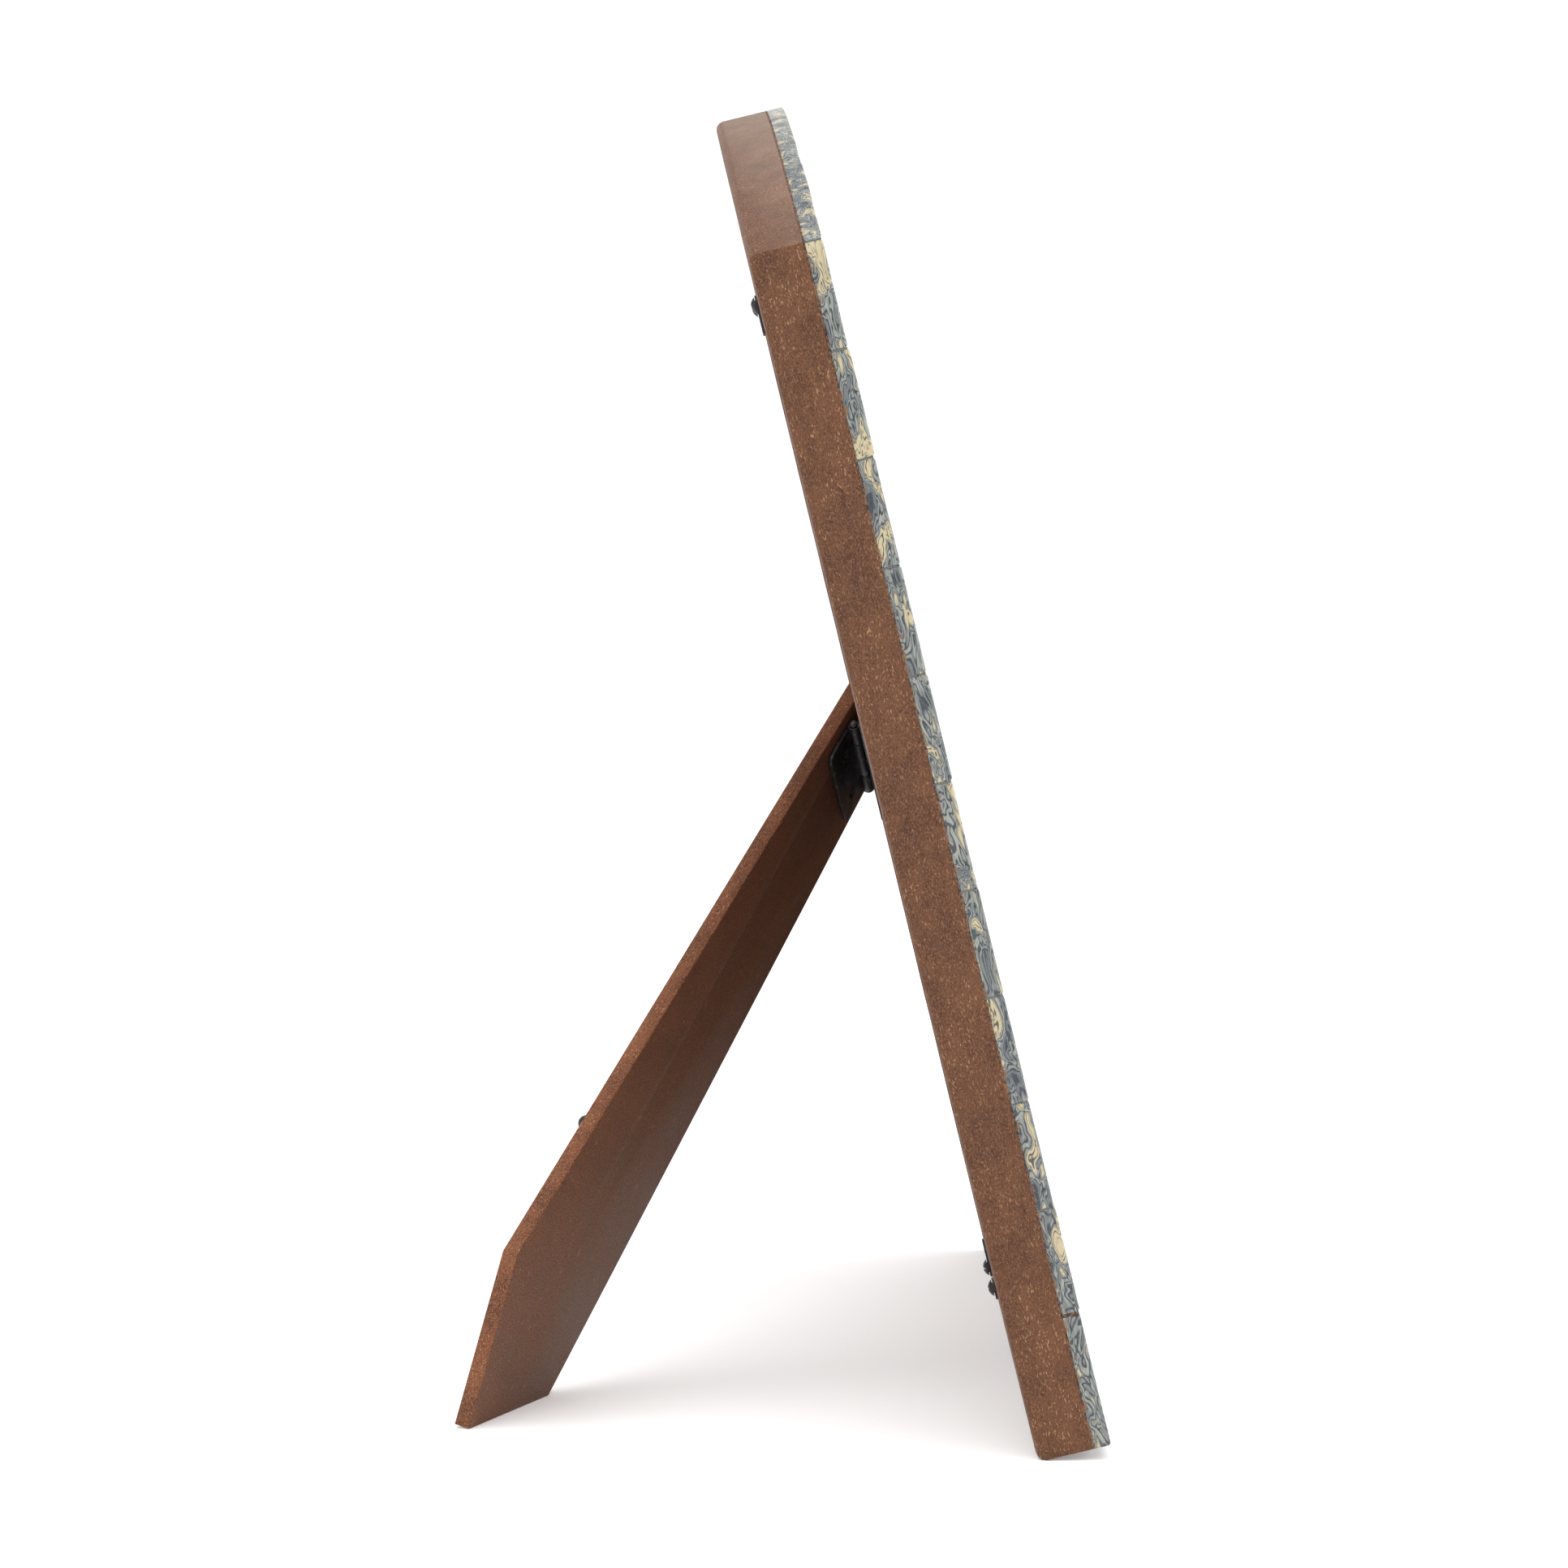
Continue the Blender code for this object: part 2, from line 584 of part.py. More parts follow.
def main():
    """Build every piece."""
    clear_scene()
    board_finish = material("stained_board", (0.15, 0.065, 0.035), 0.75)
    leg_finish = material("stained_leg", (0.19, 0.085, 0.045), 0.75)
    glass_finish = material("clear_glass", (0.85, 0.9, 0.9), 0.05, alpha=0.3)
    print_finish = material("printed_paper", (0.55, 0.6, 0.6), 0.5)
    black = material("black_steel", (0.02, 0.02, 0.022), 0.4, metallic=0.8)
    cream = material("cream_resin", (0.6, 0.52, 0.36), 0.35)
    grey = material("grey_resin", (0.33, 0.37, 0.38), 0.35)
    navy = material("navy_resin", (0.12, 0.16, 0.2), 0.35)

    root = empty("frame_base")
    upright = empty("frame_plane", root, rotation=(-LEAN, 0, 0))
    fixed = empty("hinge_axis", upright, (HINGE_OFFSET, HINGE_STANDOFF, HINGE_HEIGHT),
                  (0, HINGE_TURN, 0))
    moving = empty("leg_axis", fixed, rotation=(LEG_OPENING, 0, 0))

    board = make_board(board_finish, upright)
    make_filling("glazing", GLASS_FRONT, GLASS_THICKNESS, glass_finish, upright)
    make_filling("photo_print", PRINT_FRONT, PRINT_THICKNESS, print_finish, upright)
    panel = make_filling("back_panel", PANEL_FRONT, PANEL_THICKNESS, board_finish, upright)
    make_tiles((cream, grey, navy), upright)
    make_buttons((black, black), board, upright)
    leg = make_leg(leg_finish, moving)
    make_hinge(black, panel, leg, fixed, moving)
    make_stud(black, leg, moving)
    centre_on_table(root)


main()
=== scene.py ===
"""Finishes an easel-back photo frame: stained fibreboard, marbled tiles and black fittings."""

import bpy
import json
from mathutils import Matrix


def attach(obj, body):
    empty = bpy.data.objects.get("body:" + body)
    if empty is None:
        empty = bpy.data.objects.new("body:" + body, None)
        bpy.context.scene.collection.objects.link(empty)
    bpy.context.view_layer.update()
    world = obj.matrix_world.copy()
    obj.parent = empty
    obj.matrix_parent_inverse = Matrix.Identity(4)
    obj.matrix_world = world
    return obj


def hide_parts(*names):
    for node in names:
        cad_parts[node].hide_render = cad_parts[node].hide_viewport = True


bl_info = {
    "name": "Photo frame finishes",
    "version": (1, 0, 0),
    "blender": (4, 5, 0),
    "location": "View3D > Sidebar > Photo frame",
    "description": "Works the frame's pieces and gives each its finish",
    "category": "Object",
}

import json
import math
import random

import bpy
from bpy.props import FloatProperty, FloatVectorProperty, IntProperty, PointerProperty
from mathutils import Matrix, Vector

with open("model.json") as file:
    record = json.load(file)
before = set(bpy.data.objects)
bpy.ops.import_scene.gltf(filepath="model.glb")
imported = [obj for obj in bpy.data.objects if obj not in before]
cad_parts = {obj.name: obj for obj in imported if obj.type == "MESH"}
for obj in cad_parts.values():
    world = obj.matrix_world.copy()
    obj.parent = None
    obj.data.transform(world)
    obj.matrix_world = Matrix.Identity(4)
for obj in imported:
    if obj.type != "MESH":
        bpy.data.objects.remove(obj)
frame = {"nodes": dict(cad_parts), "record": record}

MM = 0.001
LEAN = math.radians(13.6)  # how far the board leans back from upright
CAMERA_FROM_FOOT = (-0.94283, 0.04887, 0.19776)  # from the foot of the board's rear face
NODES = frame["nodes"]


def tone(red, green, blue):
    """A display colour from 0 to 255 as the linear colour that a shader takes."""
    shares = [value / 255 for value in (red, green, blue)]
    return tuple(s / 12.92 if s < 0.04045 else ((s + 0.055) / 1.055) ** 2.4 for s in shares)


def board_frame():
    """The board's own frame: X across it, Y back out of its rear face, Z up its slope."""
    turn = Matrix.Rotation(-LEAN, 4, "X")
    upright = turn.inverted()
    corners = [upright @ vertex.co for vertex in NODES["frame_board"].data.vertices]
    rear = max(point.y for point in corners)
    foot = min(point.z for point in corners)
    return turn @ Matrix.Translation((0, rear, foot))


BOARD = board_frame()
ACROSS, BACK, UP = (BOARD.to_3x3() @ Vector(axis) for axis in ((1, 0, 0), (0, 1, 0), (0, 0, 1)))


def board_box(name):
    """Lowest and highest corner of a node in the board's own frame."""
    flat = BOARD.inverted()
    corners = [flat @ vertex.co for vertex in NODES[name].data.vertices]
    return Vector(map(min, *corners)), Vector(map(max, *corners))


BOARD_LOW, BOARD_HIGH = board_box("frame_board")
TILE_NAMES = sorted(name for name in NODES if "_tile_" in name)


# What a user would change


class PHOTOFRAME_PG_sizes(bpy.types.PropertyGroup):
    """Sizes of the small things that make the pieces look worked by hand."""

    arris: FloatProperty(
        name="Arris", description="Width of the worn corner along a sawn board's edges",
        default=0.28 * MM, unit="LENGTH")
    tile_arris: FloatProperty(
        name="Tile arris", description="Width of the rounded corner round each tile",
        default=0.12 * MM, unit="LENGTH")
    fitting_arris: FloatProperty(
        name="Fitting arris", description="Width of the broken corner on the metal fittings",
        default=0.07 * MM, unit="LENGTH")
    tile_wave: FloatProperty(
        name="Tile wave", description="How far a hand-rubbed tile strays from flat",
        default=0.16 * MM, unit="LENGTH")
    board_wave: FloatProperty(
        name="Board wave", description="How far the board's sanded faces stray from flat",
        default=0.12 * MM, unit="LENGTH")
    bed_inset: FloatProperty(
        name="Bed inset", description="How far the adhesive stays in from the board's edge",
        default=0.1 * MM, unit="LENGTH")
    bed_ragged: FloatProperty(
        name="Bed raggedness", description="How far the adhesive's edge strays",
        default=0.26 * MM, unit="LENGTH")
    filler_recess: FloatProperty(
        name="Filler recess", description="Depth of the filled joints under the proudest tile",
        default=0.3 * MM, unit="LENGTH")


class PHOTOFRAME_PG_colours(bpy.types.PropertyGroup):
    """Colours of the finishes."""

    board_dark: FloatVectorProperty(
        name="Board dark", description="Stain lying between the board's fibres",
        default=tone(58, 36, 27), subtype="COLOR")
    board_mid: FloatVectorProperty(
        name="Board brown", description="The board's overall brown",
        default=tone(100, 66, 46), subtype="COLOR")
    board_pale: FloatVectorProperty(
        name="Board pale", description="Fibres that took little stain",
        default=tone(172, 130, 96), subtype="COLOR")
    leg_edge: FloatVectorProperty(
        name="Leg edge", description="Redder brown of the leg's sawn edge",
        default=tone(122, 76, 51), subtype="COLOR")
    skin_dark: FloatVectorProperty(
        name="Skin dark", description="Dark patches of a pressed board's smooth face",
        default=tone(83, 50, 37), subtype="COLOR")
    skin_mid: FloatVectorProperty(
        name="Skin brown", description="Overall brown of a pressed board's smooth face",
        default=tone(99, 60, 44), subtype="COLOR")
    resin_cream: FloatVectorProperty(
        name="Resin cream", description="Cream of the marbling",
        default=tone(176, 163, 130), subtype="COLOR")
    resin_pale: FloatVectorProperty(
        name="Resin pale", description="Pale grey-green of the marbling",
        default=tone(138, 140, 131), subtype="COLOR")
    resin_blue: FloatVectorProperty(
        name="Resin blue", description="Blue-grey of the marbling",
        default=tone(94, 99, 101), subtype="COLOR")
    resin_navy: FloatVectorProperty(
        name="Resin navy", description="Dark veins of the marbling",
        default=tone(36, 42, 52), subtype="COLOR")
    # This colour also paints sheen: the up-facing top is painted paler with it, partly as dust and
    # partly as the light's sheen.
    dust_and_sheen: FloatVectorProperty(
        name="Dust and painted sheen", description="Sanding dust left on the board's upper edge",
        default=tone(184, 170, 152), subtype="COLOR")
    filler: FloatVectorProperty(
        name="Filler", description="Filler and adhesive between the tiles",
        default=tone(112, 80, 56), subtype="COLOR")
    grout: FloatVectorProperty(
        name="Grout", description="Grey paste rubbed into the narrow joints",
        default=tone(96, 97, 92), subtype="COLOR")
    blacking: FloatVectorProperty(
        name="Blacking", description="The blackened fittings",
        default=tone(34, 32, 33), subtype="COLOR")
    floor: FloatVectorProperty(
        name="Floor", description="Floor and backdrop",
        default=(0.85, 0.85, 0.85), subtype="COLOR")


class PHOTOFRAME_PG_stage(bpy.types.PropertyGroup):
    """Camera and lights."""

    lens: FloatProperty(
        name="Lens", description="Focal length of the camera", default=109.83, unit="CAMERA")
    tilt: FloatProperty(
        name="Tilt", description="How far down the camera looks",
        default=math.radians(5.154), subtype="ANGLE")
    yaw: FloatProperty(
        name="Yaw", description="How far the camera turns to the frame's front",
        default=math.radians(0.2305), subtype="ANGLE")
    seed: IntProperty(name="Seed", description="Start of every random draw", default=7)


def sizes():
    """The scene's sizes."""
    return bpy.context.scene.photo_frame_sizes


def colours():
    """The scene's colours."""
    return bpy.context.scene.photo_frame_colours


# Working a piece

MERGE_REACH = 0.001 * MM
FLAT_ANGLE = math.radians(1)
BROAD_LIMIT = 0.9  # cosine from a broad face's normal past which a face counts as broad


def only(*pieces):
    """Select these objects and nothing else."""
    bpy.ops.object.select_all(action="DESELECT")
    for piece in pieces:
        piece.select_set(True)
    bpy.context.view_layer.objects.active = pieces[0]


def edit(piece):
    """Open one piece in edit mode with all of it selected."""
    only(piece)
    bpy.ops.object.mode_set(mode="EDIT")
    bpy.ops.mesh.select_all(action="SELECT")


def leave():
    """Go back to object mode."""
    bpy.ops.object.mode_set(mode="OBJECT")


def copy_of(node, name):
    """A merged copy of a node's mesh, with its flat faces whole, in the node's place."""
    piece = bpy.data.objects.new(name, NODES[node].data.copy())
    bpy.context.scene.collection.objects.link(piece)
    piece.data.materials.clear()
    edit(piece)
    bpy.ops.mesh.remove_doubles(threshold=MERGE_REACH)
    bpy.ops.mesh.dissolve_limited(angle_limit=FLAT_ANGLE)
    leave()
    return piece


def apply(piece, kind, **settings):
    """Add a modifier with these settings and apply it."""
    only(piece)
    modifier = piece.modifiers.new(kind.title(), kind)
    for name, value in settings.items():
        setattr(modifier, name, value)
    bpy.ops.object.modifier_apply(modifier=modifier.name)


def bevel(piece, width, segments=2, angle=30):
    """Round the edges that turn by more than an angle in degrees."""
    apply(piece, "BEVEL", width=width, segments=segments, limit_method="ANGLE",
          angle_limit=math.radians(angle), use_clamp_overlap=True)


def score(piece, axis, start, end, step):
    """Cut a piece across at even steps, so that it has points enough to bend."""
    edit(piece)
    count = max(2, round((end - start) / step))
    for cut in range(1, count):
        at = start + (end - start) * cut / count
        bpy.ops.mesh.select_all(action="SELECT")
        bpy.ops.mesh.bisect(plane_co=BOARD.translation + axis * at, plane_no=axis)
    leave()


def wave(piece, depth, scale, name):
    """Move a piece's points in and out along a soft cloud pattern."""
    cloud = bpy.data.textures.get(name) or bpy.data.textures.new(name, "CLOUDS")
    cloud.noise_scale = scale
    cloud.noise_depth = 2
    apply(piece, "DISPLACE", texture=cloud, strength=depth, mid_level=0.5)


def shade(piece, angle=35):
    """Shade smooth all but the edges that turn by more than an angle in degrees."""
    only(piece)
    bpy.ops.object.shade_smooth_by_angle(angle=math.radians(angle))


def settle(piece, body, slot, *nodes):
    """Make a piece move with its body and stand for the nodes it was worked from."""
    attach(piece, body)
    if nodes:
        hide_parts(*nodes)


def block(name, low, high):
    """A block between two corners in the board's own frame."""
    bpy.ops.object.select_all(action="DESELECT")
    bpy.ops.mesh.primitive_cube_add(size=1, location=(low + high) / 2, scale=high - low)
    piece = bpy.context.object
    piece.name = name
    piece.matrix_world = BOARD @ piece.matrix_world
    bpy.ops.object.transform_apply(location=True, rotation=True, scale=True)
    return piece


def broad_normal(mesh):
    """The normal of a board's broad faces: that of its largest face."""
    return max(mesh.polygons, key=lambda face: face.area).normal.copy()


def paint_edges(piece, normal):
    """Give the second finish to faces that don't lie along the broad ones."""
    for face in piece.data.polygons:
        face.material_index = 0 if abs(face.normal.dot(normal)) > BROAD_LIMIT else 1


# Building a finish


def feed(tree, socket, value):
    """Link a socket to another, or set its value."""
    if isinstance(value, bpy.types.NodeSocket):
        tree.links.new(value, socket)
    elif socket.type == "RGBA":
        socket.default_value = (*value[:3], 1)
    else:
        socket.default_value = value


def put(tree, kind, feeds=None, **settings):
    """Add a shader node, set it up and feed its sockets with values or links."""
    made = tree.nodes.new("ShaderNode" + kind)
    for name, value in settings.items():
        setattr(made, name, value)
    for name, value in (feeds or {}).items():
        feed(tree, made.inputs[name], value)
    return made


def mix(tree, factor, first, second):
    """Mix two colours."""
    return put(tree, "Mix", {0: factor, 6: first, 7: second}, data_type="RGBA").outputs[2]


def maths(tree, operation, first, second=0.5, third=0.5, clamp=False):
    """One step of arithmetic on numbers."""
    feeds = {0: first, 1: second, 2: third}
    return put(tree, "Math", feeds, operation=operation, use_clamp=clamp).outputs[0]


def vectors(tree, operation, first, second=(0, 0, 0), scale=1.0):
    """One step of arithmetic on vectors."""
    feeds = {0: first, 3: scale} if operation == "SCALE" else {0: first, 1: second}
    return put(tree, "VectorMath", feeds, operation=operation).outputs[0]


def ramp(tree, factor, stops):
    """A colour ramp with these (place, colour) stops."""
    made = put(tree, "ValToRGB", {"Fac": factor})
    points = made.color_ramp.elements
    while len(points) < len(stops):
        points.new(0.5)
    for point, (place, colour) in zip(points, stops):
        point.position = place
        point.color = (*colour, 1)
    return made.outputs["Color"]


def threshold(tree, value, low, high):
    """Nought below low, one above high and a smooth rise between them."""
    feeds = {"Value": value, "From Min": low, "From Max": high}
    return put(tree, "MapRange", feeds, interpolation_type="SMOOTHSTEP").outputs[0]


def noise(tree, vector, scale, detail=2.0, roughness=0.5, output="Fac"):
    """Soft noise: its Fac lies about a half."""
    feeds = {"Vector": vector, "Scale": scale, "Detail": detail, "Roughness": roughness}
    return put(tree, "TexNoise", feeds).outputs[output]


def wander(tree, vector, scale, reach, detail=2.0):
    """Push a vector about by noise."""
    cloud = noise(tree, vector, scale, detail, output="Color")
    centred = vectors(tree, "SUBTRACT", cloud, (0.5, 0.5, 0.5))
    pushed = vectors(tree, "SCALE", centred, scale=reach)
    return vectors(tree, "ADD", vector, pushed)


STAINS = (("Vector", "Vector"), ("Dark", "Color"), ("Mid", "Color"), ("Pale", "Color"))
RESINS = (("Vector", "Vector"), ("Shift", "Vector"), ("Cream", "Color"), ("Pale", "Color"),
          ("Blue", "Color"), ("Navy", "Color"))
FINISH = (("Color", "Color"), ("Roughness", "Float"), ("Height", "Float"))


def new_group(name, takes, gives):
    """An empty shader node group with these (name, kind) inputs and outputs."""
    group = bpy.data.node_groups.new(name, "ShaderNodeTree")
    for way, sockets in (("INPUT", takes), ("OUTPUT", gives)):
        for title, kind in sockets:
            group.interface.new_socket(title, in_out=way, socket_type="NodeSocket" + kind)
    entry = group.nodes.new("NodeGroupInput")
    exit_ = group.nodes.new("NodeGroupOutput")
    return group, entry.outputs, exit_.inputs


def group_in(tree, group, feeds):
    """Place a group in a material and feed it."""
    made = tree.nodes.new("ShaderNodeGroup")
    made.node_tree = group
    for name, value in feeds.items():
        feed(tree, made.inputs[name], value)
    return made.outputs


def place_in(tree, own):
    """Coordinates in a piece's own frame, in millimetres."""
    spot = put(tree, "TexCoord").outputs["Object"]
    feeds = {"Vector": spot, "Location": own.translation, "Rotation": own.to_euler()}
    turned = put(tree, "Mapping", feeds, vector_type="TEXTURE").outputs[0]
    return vectors(tree, "SCALE", turned, scale=1 / MM)


def leg_frame():
    """The leg's own frame: X across it, Y out of its broad face, Z down its length."""
    mesh = NODES["easel_leg"].data
    out = broad_normal(mesh)
    foot = min((vertex.co for vertex in mesh.vertices), key=lambda point: point.z)
    head = sum((vertex.co for vertex in NODES["hinge_pin"].data.vertices), Vector())
    head /= len(NODES["hinge_pin"].data.vertices)
    down = foot - head
    down = (down - out * down.dot(out)).normalized()
    across = out.cross(down)
    turn = Matrix((across, out, down)).transposed().to_4x4()
    return Matrix.Translation(head) @ turn


def streaks(tree, spot, cell, slim, kept, turns):
    """Thin strokes laid at several turns: cell is one stroke's room across and along it."""
    drawn = None
    for number, turn in enumerate(turns):
        seed = 31.0 * number + 5.0
        feeds = {"Vector": spot, "Rotation": (turn, turn * 0.6, 0), "Location": (seed, seed, seed),
                 "Scale": (1 / cell[0], 1 / cell[0], 1 / cell[1])}
        laid = put(tree, "Mapping", feeds).outputs[0]
        cells = put(tree, "TexVoronoi", {"Vector": laid, "Scale": 1.0, "Randomness": 1.0}).outputs
        chance = put(tree, "SeparateColor", {0: cells["Color"]}).outputs[0]
        shape = threshold(tree, cells["Distance"], slim, slim / 2)
        layer = maths(tree, "MULTIPLY", shape, threshold(tree, chance, *kept))
        drawn = layer if drawn is None else maths(tree, "MAXIMUM", drawn, layer)
    return drawn


def swing(tree, value, reach, centre=0.5):
    """A noise's rise and fall about nought, scaled to this reach."""
    return maths(tree, "MULTIPLY", maths(tree, "SUBTRACT", value, centre), reach)


def fibre_group():
    """Pressed wood fibres: mottled ground, fine grain and short pale strokes, in millimetres."""
    group, take, give = new_group("pressed fibres", STAINS, FINISH)
    spot = take["Vector"]
    place = wander(group, spot, 0.6, 1.1)
    mottle = noise(group, spot, 0.10, 3.0, 0.6)
    bands = noise(group, vectors(group, "MULTIPLY", spot, (1.0, 1.0, 0.3)), 0.5, 2.0, 0.5)
    grain = noise(group, vectors(group, "MULTIPLY", place, (4.6, 4.6, 2.6)), 1.0, 4.0, 0.66)
    fuzz = noise(group, spot, 9.0, 2.0, 0.6)
    strokes = streaks(group, place, (0.5, 2.5), 0.23, (0.50, 0.85), (0.3, -0.25, 0.9, -1.1))
    threads = streaks(group, place, (0.5, 1.2), 0.25, (0.45, 0.90), (1.45, 0.7, -0.6))
    drawn = maths(group, "MAXIMUM", strokes, maths(group, "MULTIPLY", threads, 0.8))
    drift = maths(group, "MULTIPLY_ADD", threshold(group, mottle, 0.42, 0.62), 0.65, 0.35)
    drawn = maths(group, "MULTIPLY", drawn, drift)
    tint = maths(group, "ADD", grain, swing(group, mottle, 0.35))
    tint = maths(group, "ADD", tint, swing(group, bands, 0.18))
    ground = mix(group, threshold(group, tint, 0.28, 0.60), take["Dark"], take["Mid"])
    specks = threshold(group, maths(group, "ADD", grain, swing(group, fuzz, 0.5)), 0.56, 0.80)
    lit = mix(group, maths(group, "MULTIPLY", specks, 0.6), ground, take["Pale"])
    pits = threshold(group, maths(group, "ADD", grain, swing(group, fuzz, 0.4)), 0.36, 0.26)
    lit = mix(group, maths(group, "MULTIPLY", pits, 0.7), lit, take["Dark"])
    shown = mix(group, maths(group, "MULTIPLY", drawn, 0.85), lit, take["Pale"])
    group.links.new(shown, give["Color"])
    group.links.new(maths(group, "MULTIPLY_ADD", grain, 0.25, 0.62), give["Roughness"])
    height = maths(group, "MULTIPLY_ADD", drawn, 0.35, maths(group, "MULTIPLY", grain, 0.6))
    group.links.new(maths(group, "MULTIPLY_ADD", fuzz, 0.3, height), give["Height"])
    return group


def skin_group():
    """The smooth pressed skin of thin board: cloudy stain with stray hairs, in millimetres."""
    group, take, give = new_group("pressed skin", STAINS, FINISH)
    spot = take["Vector"]
    cloudy = noise(group, wander(group, spot, 0.12, 5.0), 0.09, 4.0, 0.6)
    fine = noise(group, spot, 3.4, 3.0, 0.7)
    bent = wander(group, spot, 0.16, 3.2, 1.0)
    hairs = streaks(group, bent, (1.5, 11.0), 0.09, (0.45, 0.8), (0.5, -0.4, 1.3))
    short = streaks(group, bent, (0.7, 2.8), 0.16, (0.55, 0.95), (1.1, -0.9, 0.2))
    flecks = threshold(group, noise(group, spot, 1.5, 3.0, 0.65), 0.38, 0.30)
    ground = mix(group, threshold(group, cloudy, 0.25, 0.70), take["Dark"], take["Mid"])
    ground = mix(group, maths(group, "MULTIPLY", flecks, 0.5), ground, take["Dark"])
    worn = mix(group, 0.28, ground, take["Pale"])
    sunk = mix(group, 0.38, ground, (0, 0, 0))
    grained = mix(group, threshold(group, fine, 0.34, 0.68), sunk, worn)
    drawn = maths(group, "MAXIMUM", hairs, maths(group, "MULTIPLY", short, 0.6))
    shown = mix(group, maths(group, "MULTIPLY", drawn, 0.62), grained, take["Pale"])
    group.links.new(shown, give["Color"])
    group.links.new(maths(group, "MULTIPLY_ADD", cloudy, 0.3, 0.42), give["Roughness"])
    height = maths(group, "MULTIPLY_ADD", drawn, 0.4, maths(group, "MULTIPLY", fine, 0.6))
    group.links.new(height, give["Height"])
    return group


def line_at(tree, value, level, width):
    """One where a value crosses this level, fading to nought over this width."""
    off = maths(tree, "ABSOLUTE", maths(tree, "SUBTRACT", value, level))
    return threshold(tree, off, width, width / 3)


def marble_group():
    """Marbled resin: cream, grey and navy drawn out in swirls and veins, in millimetres."""
    group, take, give = new_group("marbling", RESINS, FINISH)
    moved = vectors(group, "ADD", take["Vector"], take["Shift"])
    long = vectors(group, "MULTIPLY", moved, (1.0, 1.0, 0.33))
    swirled = wander(group, long, 0.20, 5.0, 1.0)
    curled = wander(group, swirled, 0.6, 1.3, 1.0)
    flow = noise(group, curled, 0.36, 2.0, 0.5)
    broad = noise(group, vectors(group, "ADD", long, (5.0, 71.0, 23.0)), 0.11, 2.0, 0.5)
    place = maths(group, "ADD", flow, swing(group, broad, 0.22))
    brushed = noise(group, vectors(group, "MULTIPLY", curled, (2.2, 2.2, 0.5)), 1.0, 3.0, 0.6)
    base = mix(group, threshold(group, brushed, 0.36, 0.62), take["Blue"], take["Pale"])
    base = mix(group, threshold(group, place, 0.45, 0.39), base, take["Blue"])
    cream = threshold(group, maths(group, "ADD", place, swing(group, brushed, 0.05)), 0.565, 0.60)
    base = mix(group, maths(group, "MULTIPLY", cream, 0.92), base, take["Cream"])
    strands = maths(group, "PINGPONG", maths(group, "MULTIPLY", place, 17.0), 1.0)
    uneven = threshold(group, brushed, 0.38, 0.60)
    faint = maths(group, "MULTIPLY", threshold(group, strands, 0.42, 0.10), uneven)
    base = mix(group, maths(group, "MULTIPLY", faint, 0.75), base, take["Navy"])
    dark = line_at(group, place, 0.548, 0.016)
    for level, width in ((0.475, 0.014), (0.415, 0.020), (0.640, 0.012)):
        dark = maths(group, "MAXIMUM", dark, line_at(group, place, level, width))
    dark = maths(group, "MAXIMUM", dark, threshold(group, place, 0.36, 0.335))
    shown = mix(group, maths(group, "MULTIPLY", dark, 0.9), base, take["Navy"])
    group.links.new(shown, give["Color"])
    rubbed = vectors(group, "MULTIPLY", take["Vector"], (2.0, 9.0, 2.0))
    scuffs = noise(group, rubbed, 1.0, 3.0, 0.6)
    group.links.new(maths(group, "MULTIPLY_ADD", scuffs, 0.22, 0.16), give["Roughness"])
    group.links.new(scuffs, give["Height"])
    return group


def begin(name):
    """A new material with its output and main shader."""
    material = bpy.data.materials.new(name)
    material.use_nodes = True
    tree = material.node_tree
    return material, tree, tree.nodes["Principled BSDF"]


def relief(tree, shader, height, depth):
    """Raise the finish by this height, over this depth in metres."""
    bump = put(tree, "Bump", {"Height": height, "Distance": depth, "Strength": 1.0})
    tree.links.new(bump.outputs[0], shader.inputs["Normal"])


def dress(tree, shader, colour, outputs, depth):
    """Feed a shader with a colour and with a group's roughness and height."""
    tree.links.new(colour, shader.inputs["Base Color"])
    tree.links.new(outputs["Roughness"], shader.inputs["Roughness"])
    relief(tree, shader, outputs["Height"], depth)


def dust_and_sheen_group():
    """Dust and painted sheen: on what faces up, in drifts and specks, in millimetres."""
    group, take, give = new_group("settled dust and painted sheen", (("Vector", "Vector"),), (("Mask", "Float"),))
    faces = put(group, "SeparateXYZ", {0: put(group, "TexCoord").outputs["Normal"]}).outputs["Z"]
    # Faces that face up get painted sheen as well as dust: the top is painted paler, as the light
    # would show it.
    level = threshold(group, faces, 0.80, 1.0)
    drifts = noise(group, take["Vector"], 0.22, 4.0, 0.6)
    specks = threshold(group, noise(group, take["Vector"], 2.6, 3.0, 0.7), 0.56, 0.74)
    dust_and_sheen_mask = maths(group, "MULTIPLY_ADD", specks, 0.30, maths(group, "MULTIPLY", drifts, 0.28))
    group.links.new(maths(group, "MULTIPLY", level, dust_and_sheen_mask, clamp=True), give["Mask"])
    return group


def sawn_board(name, mid, group, own, dust_and_sheen):
    """Stained fibreboard where it was sawn, with a little dust and a painted sheen on top."""
    shade_of = colours()
    material, tree, shader = begin(name)
    spot = place_in(tree, own)
    feeds = {"Vector": spot, "Dark": shade_of.board_dark, "Mid": mid, "Pale": shade_of.board_pale}
    fibres = group_in(tree, group, feeds)
    dust_and_sheen_mask = group_in(tree, dust_and_sheen, {"Vector": spot})["Mask"]
    # Paints the up-facing faces paler: dust and a painted sheen of light together.
    shown = mix(tree, dust_and_sheen_mask, fibres["Color"], shade_of.dust_and_sheen)
    dress(tree, shader, shown, fibres, 0.12 * MM)
    shader.inputs["Specular IOR Level"].default_value = 0.2
    shader.inputs["Sheen Weight"].default_value = 0.15
    shader.inputs["Sheen Roughness"].default_value = 0.4
    return material


